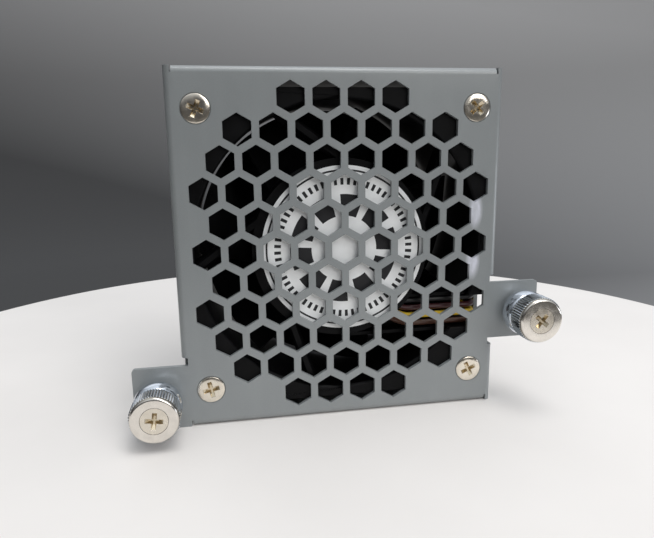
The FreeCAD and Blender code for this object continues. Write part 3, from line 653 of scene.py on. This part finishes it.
def dress(name, material, edge=0.0, segments=2):
    """Gives a frame piece its finish, smooth shading and, where asked, rounded edges."""
    piece = nodes[name]
    sizes = bpy.context.scene.module_sizes
    piece.data.materials.clear()
    piece.data.materials.append(material)
    weld = piece.modifiers.new("weld", "WELD")
    weld.merge_threshold = weld_distance
    shading = piece.modifiers.new("shading", "NODES")
    shading.node_group = smooth_faces(sizes.smooth_angle)
    if edge > 0:
        rounding = piece.modifiers.new("edges", "BEVEL")
        rounding.width = edge
        rounding.segments = segments
        rounding.limit_method = "ANGLE"
        rounding.angle_limit = sizes.smooth_angle
        rounding.use_clamp_overlap = True
        rounding.harden_normals = True


def add_piece(name, mesh, material, body):
    """Turns a finished mesh into a piece that rides on a body and takes a finish."""
    sizes = bpy.context.scene.module_sizes
    bmesh.ops.recalc_face_normals(mesh, faces=mesh.faces)
    data = bpy.data.meshes.new(name)
    mesh.to_mesh(data)
    mesh.free()
    data.materials.append(material)
    piece = bpy.data.objects.new(name, data)
    bpy.context.scene.collection.objects.link(piece)
    shading = piece.modifiers.new("shading", "NODES")
    shading.node_group = smooth_faces(sizes.smooth_angle)
    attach(piece, body)
    return piece


def join_rings(mesh, rings):
    """Faces between rings of points, each joined to the next."""
    for first, second in zip(rings, rings[1:]):
        count = len(first)
        for k in range(count):
            mesh.faces.new((first[k], first[(k + 1) % count], second[(k + 1) % count], second[k]))


def cross_outline(reach, half):
    """Corners of a cross with arms of a given reach and half width."""
    arm = [(reach, -half), (reach, half), (half, half)]
    return [(x * c - z * s, x * s + z * c) for c, s in ((1, 0), (0, 1), (-1, 0), (0, -1)) for x, z in arm]


def add_recess(mesh, centre, face, degrees, sizes):
    """Tapered driver recess that lines a screw's cross, open towards the front."""
    half = sizes.recess_width / 2
    skin = sizes.seat_gap / 4
    turn = math.radians(degrees)
    rings = []
    for reach, width, depth in (
            (sizes.recess_floor, half, sizes.recess_depth - skin),
            (sizes.recess_reach, half, skin),
            (sizes.recess_reach - skin, half - skin, skin),
            (sizes.recess_floor * recess_floor_length, half * recess_floor_width,
             sizes.recess_depth * recess_floor_depth)):
        rings.append([mesh.verts.new((centre.x + x * math.cos(turn) + z * math.sin(turn), face + depth,
                                      centre.z - x * math.sin(turn) + z * math.cos(turn)))
                      for x, z in cross_outline(reach, width)])
    join_rings(mesh, rings)
    mesh.faces.new(rings[0])
    mesh.faces.new(rings[-1])


def knob_section(radius, length, screw_radius, sizes):
    """Section of a thumbscrew's cap as radius, depth from its face and height of the ridges there."""
    root = radius - sizes.knurl_depth
    quarter = [math.pi / 2 * step / rim_steps for step in range(rim_steps + 1)]
    rim = [(root - sizes.rim_round * (1 - math.sin(a)), sizes.rim_round * (1 - math.cos(a)), 0)
           for a in quarter]
    slope = sizes.knurl_depth
    knurl = [(root, sizes.rim_round + slope, slope), (root, sizes.knurl_end - slope, slope),
             (root, sizes.knurl_end, 0)]
    neck = radius - sizes.neck_depth
    rise = radius - sizes.collar_end
    half = sizes.collar_length / 2
    start = math.asin((neck - sizes.collar_end) / rise)
    sweep = [start + (math.pi - start) * step / collar_steps for step in range(collar_steps + 1)]
    collar = [(sizes.collar_end + rise * math.sin(a), length - half - half * math.cos(a), 0) for a in sweep]
    mouth = sizes.collar_end - sizes.seat_gap
    bore = radius - sizes.knob_wall
    seat = screw_radius + sizes.seat_gap
    face = [(seat, sizes.seat_depth, 0), (seat, 0, 0)]
    lip = length - sizes.knob_lip
    inside = [(mouth, length, 0), (mouth, lip, 0), (bore, lip, 0), (bore, sizes.knob_face, 0),
              (sizes.shank, sizes.knob_face, 0), (sizes.shank, sizes.seat_depth, 0)]
    return face + rim + knurl + [(neck, sizes.knurl_end, 0)] + collar + inside


class PieceOperator(bpy.types.Operator):
    """Base of the operators that finish the pieces."""

    bl_options = {"REGISTER", "UNDO"}

    def execute(self, context):
        scene = context.scene
        self.build(scene.module_sizes, scene.module_colours)
        return {"FINISHED"}


class MODULE_OT_bracket(PieceOperator):
    """Paints the bracket and rounds its edges."""

    bl_idname = "module.bracket"
    bl_label = "Bracket"

    def build(self, sizes, colours):
        dress("bracket", grey_paint(tuple(colours.paint), sizes), sizes.paint_edge)


class MODULE_OT_fan(PieceOperator):
    """Finishes the fan's housing, its motor base and its impeller."""

    bl_idname = "module.fan"
    bl_label = "Fan housing and impeller"

    def build(self, sizes, colours):
        plastic = tuple(colours.plastic)
        moulding = black_plastic("housing_plastic", plastic, 0.42, 0.12)
        dress("fan_housing", moulding, sizes.plastic_edge)
        dress("motor_base", moulding, sizes.plastic_edge)
        dress("impeller", black_plastic("impeller_plastic", shade(plastic, 1.0), 0.30, 0.40))


class MODULE_OT_label(PieceOperator):
    """Prints the hub label with a plain design."""

    bl_idname = "module.label"
    bl_label = "Hub label"

    def build(self, sizes, colours):
        dress("hub_label", printed_label(colours, sizes))


class MODULE_OT_screws(PieceOperator):
    """Plates the four fan screws and lines their driver recesses in a darker, warmer plating that is
    painted shade.
    """

    bl_idname = "module.screws"
    bl_label = "Fan screws"

    def build(self, sizes, colours):
        dress("fan_screws", plated("screw_plating", tuple(colours.screw), 0.18), sizes.metal_edge, 3)
        low, high = corners("fan_screws")
        across = {"left": low.x + sizes.screw_head, "right": high.x - sizes.screw_head}
        heights = {"bottom": low.z + sizes.screw_head, "top": high.z - sizes.screw_head}
        mesh = bmesh.new()
        for (side, level), degrees in fan_screw_turns.items():
            add_recess(mesh, Vector((across[side], 0, heights[level])), low.y, degrees, sizes)
        # Recess linings in the darker, warmer plating: painted shade
        add_piece("fan_screw_recesses", mesh, plated("recess_shade_plating", tuple(colours.recess), 0.16),
                  "module")


class MODULE_OT_thumbscrews(PieceOperator):
    """Turns the thumbscrews' caps, plates their screws and retainers and finishes the springs."""

    bl_idname = "module.thumbscrews"
    bl_label = "Thumbscrews"

    def build(self, sizes, colours):
        nickel = tuple(colours.nickel)
        screw = tuple(colours.screw)
        wire = bare_metal("spring_wire", wire_colour, 0.28, 0.0008)
        # Thumbscrew recess linings darker still: painted shade
        recess = plated("thumb_recess_shade_plating", shade(colours.recess, -0.1), 0.18)
        for side, degrees in thumb_screw_turns.items():
            screw_name = side + "_thumb_screw"
            self.add_knob(side, sizes, colours)
            dress(screw_name, plated(side + "_screw_nickel", shade(screw, -0.04), 0.22), sizes.metal_edge)
            # Retainers take the blue-tinted nickel, whose tint is a painted reflection
            dress(side + "_retainer", plated(side + "_retainer_nickel", nickel, 0.16), sizes.metal_edge)
            self.add_spring(side, wire, sizes)
            mesh = bmesh.new()
            add_recess(mesh, middle(screw_name), corners(screw_name)[0].y, degrees, sizes)
            add_piece(side + "_thumb_recess", mesh, recess, side + "_plunger")

    def add_knob(self, side, sizes, colours):
        """Turned cap with a straight knurl and a domed collar, in place of the plainer solid."""
        knob = side + "_knob"
        low, high = corners(knob)
        screw_low, screw_high = corners(side + "_thumb_screw")
        screw_radius = (screw_high.x - screw_low.x) / 2
        section = knob_section((high.x - low.x) / 2, high.y - low.y, screw_radius, sizes)
        centre = (low + high) / 2
        steps = 2 * sizes.knurl_ridges
        mesh = bmesh.new()
        rings = []
        for radius, depth, ridge in section:
            ring = []
            for k in range(steps):
                angle = 2 * math.pi * k / steps
                reach = radius + ridge * (k % 2)
                ring.append(mesh.verts.new((centre.x + reach * math.cos(angle), low.y + depth,
                                            centre.z + reach * math.sin(angle))))
            rings.append(ring)
        join_rings(mesh, rings + rings[:1])
        nickel = turned_nickel(side + "_turned_nickel", knob, colours, sizes)
        cap = add_piece(side + "_turned_cap", mesh, nickel, side + "_plunger")
        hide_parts(knob)

    def add_spring(self, side, wire, sizes):
        """Round-wire coil in place of the rigid one."""
        spring = side + "_spring"
        low, high = corners(spring)
        centre = (low + high) / 2
        half = sizes.spring_wire / 2
        radius = (high.x - low.x) / 2 - half
        start = low.y + half
        steps = sizes.spring_turns * coil_steps
        pitch = (high.y - half - start) / steps
        mesh = bmesh.new()
        rings = []
        for k in range(steps + 1):
            turn = 2 * math.pi * k / coil_steps
            ring = []
            for j in range(wire_sides):
                angle = 2 * math.pi * j / wire_sides
                reach = radius + half * math.cos(angle)
                ring.append(mesh.verts.new((centre.x + reach * math.cos(turn),
                                            start + pitch * k + half * math.sin(angle),
                                            centre.z + reach * math.sin(turn))))
            rings.append(ring)
        join_rings(mesh, rings)
        mesh.faces.new(rings[0])
        mesh.faces.new(rings[-1])
        coil = add_piece(side + "_coil", mesh, wire, side + "_turner")
        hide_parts(spring)
        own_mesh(coil)


class MODULE_OT_leads(PieceOperator):
    """Colours the four leads and the rear connector."""

    bl_idname = "module.leads"
    bl_label = "Leads and connector"

    def build(self, sizes, colours):
        for colour, value in lead_colours.items():
            dress(colour + "_lead", vinyl(colour + "_vinyl", value))
        dress("connector_housing", moulded("natural_nylon", nylon_colour, 0.42), sizes.plastic_edge)
        dress("connector_contacts", bare_metal("tinned_brass", contact_colour, 0.25, 0.0005))


class MODULE_OT_motor(PieceOperator):
    """Finishes the motor's inner pieces."""

    bl_idname = "module.motor"
    bl_label = "Motor"

    def build(self, sizes, colours):
        brass = bare_metal("turned_brass", brass_colour, 0.25, 0.0006)
        ground = bare_metal("ground_steel", ground_colour, 0.16, 0.0005)
        pressed = bare_metal("pressed_steel", pressed_colour, 0.36, 0.0012)
        resin = moulded("insulator_resin", resin_colour, 0.45)
        finishes = {
            "bearing_sleeve": brass, "shaft_boss": brass, "shaft": ground, "retaining_clip": ground,
            "preload_washer": ground, "front_bearing_outer_race": ground,
            "front_bearing_inner_race": ground, "rear_bearing_outer_race": ground,
            "rear_bearing_inner_race": ground, "rotor_yoke": pressed, "stator_core": pressed,
            "front_insulator": resin, "rear_insulator": resin,
            "rotor_magnet": moulded("bonded_ferrite", ferrite_colour, 0.55),
            "stator_windings": wound_wire(copper_colour),
            "circuit_board": board_mask(board_colour),
            "board_components": moulded("chip_resin", chip_colour, 0.45),
        }
        for name, material in finishes.items():
            dress(name, material)


class MODULE_OT_stage(bpy.types.Operator):
    """Adds the pale round table, the grey backdrop, the lights and the camera."""

    bl_idname = "module.stage"
    bl_label = "Stage"
    bl_options = {"REGISTER", "UNDO"}

    def execute(self, context):
        scene = context.scene
        stage = scene.module_stage
        colours = scene.module_colours
        self.add_table(scene, stage, colours)
        self.add_backdrop(scene, stage, colours)
        self.add_lights(scene, stage)
        self.add_surround(scene)
        self.add_camera(scene, stage)
        scene.view_settings.view_transform = "Standard"
        return {"FINISHED"}

    def add_stage_piece(self, scene, name, mesh, material):
        """Turns a finished mesh into a piece of the stage."""
        data = bpy.data.meshes.new(name)
        mesh.to_mesh(data)
        mesh.free()
        data.materials.append(material)
        piece = bpy.data.objects.new(name, data)
        scene.collection.objects.link(piece)
        return piece

    def add_table(self, scene, stage, colours):
        """Round pale table with a soft edge."""
        mesh = bmesh.new()
        middle_height = Vector(stage.table_centre) - Vector((0, 0, stage.table_height / 2))
        bmesh.ops.create_cone(mesh, cap_ends=True, segments=table_steps, radius1=stage.table_radius,
                              radius2=stage.table_radius, depth=stage.table_height,
                              matrix=Matrix.Translation(middle_height))
        material, tree, shader = new_finish("table_paint")
        tree.links.new(ramp(tree, noise(tree, 0.05, 4.0), [(0.3, shade(colours.table, -0.03)),
                                                          (0.7, shade(colours.table, 0.02))]),
                       shader.inputs["Base Color"])
        shader.inputs["Roughness"].default_value = 0.55
        table = self.add_stage_piece(scene, "table", mesh, material)
        edge = table.modifiers.new("edge", "BEVEL")
        edge.width = stage.table_height / 4
        edge.segments = 4

    def add_backdrop(self, scene, stage, colours):
        """Grey floor round the table that sweeps up into a wall, painted darker low down and on the left
        and lighter up high, to the right and towards the front as painted light and shade; only the camera
        sees it.
        """
        sweep = stage.wall_radius / 3
        floor = -stage.table_height
        section = [(stage.table_radius / 2, floor)]
        for step in range(sweep_steps + 1):
            angle = math.pi / 2 * step / sweep_steps
            section.append((stage.wall_radius - sweep * (1 - math.sin(angle)),
                            floor + sweep * (1 - math.cos(angle))))
        section.append((stage.wall_radius, stage.wall_height))
        mesh = bmesh.new()
        round_angles = [2 * math.pi * k / backdrop_steps for k in range(backdrop_steps)]
        rings = [[mesh.verts.new((radius * math.cos(a), radius * math.sin(a), height))
                  for a in round_angles] for radius, height in section]
        join_rings(mesh, rings)
        for face in mesh.faces:
            face.smooth = True
        material, tree, shader = new_finish("backdrop_paint")
        x, y, z = axes_of(tree, place_on(tree))
        # Painted light and shade: the backdrop is darker at its foot and on the left, lighter up high, to
        # the right and towards the front
        slant = sums(tree, "ADD", z, sums(tree, "MULTIPLY", x, wall_slope))
        toward = sums(tree, "ADD", slant, mapped(tree, y, front_lift, 0.0, *front_reach))
        wall = mixed(tree, mapped(tree, toward, 0.0, 1.0, *wall_fade),
                     tuple(colours.wall_low), tuple(colours.wall_high))
        tree.links.new(wall, shader.inputs["Base Color"])
        shader.inputs["Roughness"].default_value = 0.6
        shader.inputs["Specular IOR Level"].default_value = 0.1
        backdrop = self.add_stage_piece(scene, "backdrop", mesh, material)
        backdrop.visible_diffuse = False
        backdrop.visible_glossy = False
        backdrop.visible_shadow = False

    def add_lights(self, scene, stage):
        """Soft overhead, front and rear lights and a low strip for the edges."""
        powers = {"overhead": stage.key_power, "front": stage.fill_power,
                  "strip": stage.strip_power, "rear": stage.rear_power}
        for name, (place, wide, tall, colour) in lights.items():
            lamp = bpy.data.lights.new(name, "AREA")
            lamp.shape = "RECTANGLE"
            lamp.size = wide
            lamp.size_y = tall
            lamp.energy = powers[name]
            lamp.color = colour
            light = bpy.data.objects.new(name, lamp)
            light.location = place
            light.rotation_euler = (light_target - Vector(place)).to_track_quat("-Z", "Y").to_euler()
            scene.collection.objects.link(light)

    def add_surround(self, scene):
        """Room that is bright above, dim at eye level and a little brighter to the right."""
        world = bpy.data.worlds.new("surround")
        world.use_nodes = True
        tree = world.node_tree
        background = tree.nodes["Background"]
        way = tree.nodes.new("ShaderNodeTexCoord").outputs["Generated"]
        x, z = axes_of(tree, way)[::2]
        height = mapped(tree, z, 0.0, 1.0, -1.0, 1.0)
        room = ramp(tree, height, room_colours)
        tree.links.new(room, background.inputs["Color"])
        tree.links.new(mapped(tree, x, *room_strength, -1.0, 1.0), background.inputs["Strength"])
        scene.world = world

    def add_camera(self, scene, stage):
        """Camera at the photograph's place."""
        forward = Vector(stage.camera_forward).normalized()
        right = forward.cross(Vector(stage.camera_up)).normalized()
        up = right.cross(forward)
        grille_centre = Vector((label_centre.x, plate_front, label_centre.z))
        place = grille_centre + Vector(stage.camera_offset)
        lens = bpy.data.cameras.new("camera")
        lens.sensor_fit = "HORIZONTAL"
        lens.sensor_width = sensor_width
        lens.lens = stage.lens
        lens.clip_start = nearest
        camera = bpy.data.objects.new("camera", lens)
        turn = Matrix((right, up, -forward)).transposed().to_4x4()
        camera.matrix_world = Matrix.Translation(place) @ turn
        scene.collection.objects.link(camera)
        scene.camera = camera


class MODULE_PT_panel(bpy.types.Panel):
    """Lists the finishing steps."""

    bl_label = "Fan Module"
    bl_idname = "MODULE_PT_panel"
    bl_space_type = "VIEW_3D"
    bl_region_type = "UI"
    bl_category = "Fan Module"

    def draw(self, context):
        for operator in piece_operators + (MODULE_OT_stage,):
            self.layout.operator(operator.bl_idname)
        for group in (context.scene.module_sizes, context.scene.module_colours, context.scene.module_stage):
            box = self.layout.box()
            for name in group.bl_rna.properties.keys():
                if name not in ("rna_type", "name"):
                    box.prop(group, name)


property_groups = (ModuleSizes, ModuleColours, ModuleStage)
piece_operators = (MODULE_OT_bracket, MODULE_OT_fan, MODULE_OT_label, MODULE_OT_screws,
                   MODULE_OT_thumbscrews, MODULE_OT_leads, MODULE_OT_motor)
classes = property_groups + piece_operators + (MODULE_OT_stage, MODULE_PT_panel)


def register():
    for item in classes:
        bpy.utils.register_class(item)
    bpy.types.Scene.module_sizes = PointerProperty(type=ModuleSizes)
    bpy.types.Scene.module_colours = PointerProperty(type=ModuleColours)
    bpy.types.Scene.module_stage = PointerProperty(type=ModuleStage)


def unregister():
    del bpy.types.Scene.module_stage
    del bpy.types.Scene.module_colours
    del bpy.types.Scene.module_sizes
    for item in reversed(classes):
        bpy.utils.unregister_class(item)


def main():
    register()
    bpy.ops.module.bracket()
    bpy.ops.module.fan()
    bpy.ops.module.label()
    bpy.ops.module.screws()
    bpy.ops.module.thumbscrews()
    bpy.ops.module.leads()
    bpy.ops.module.motor()
    bpy.ops.module.stage()


if __name__ == "__main__":
    main()
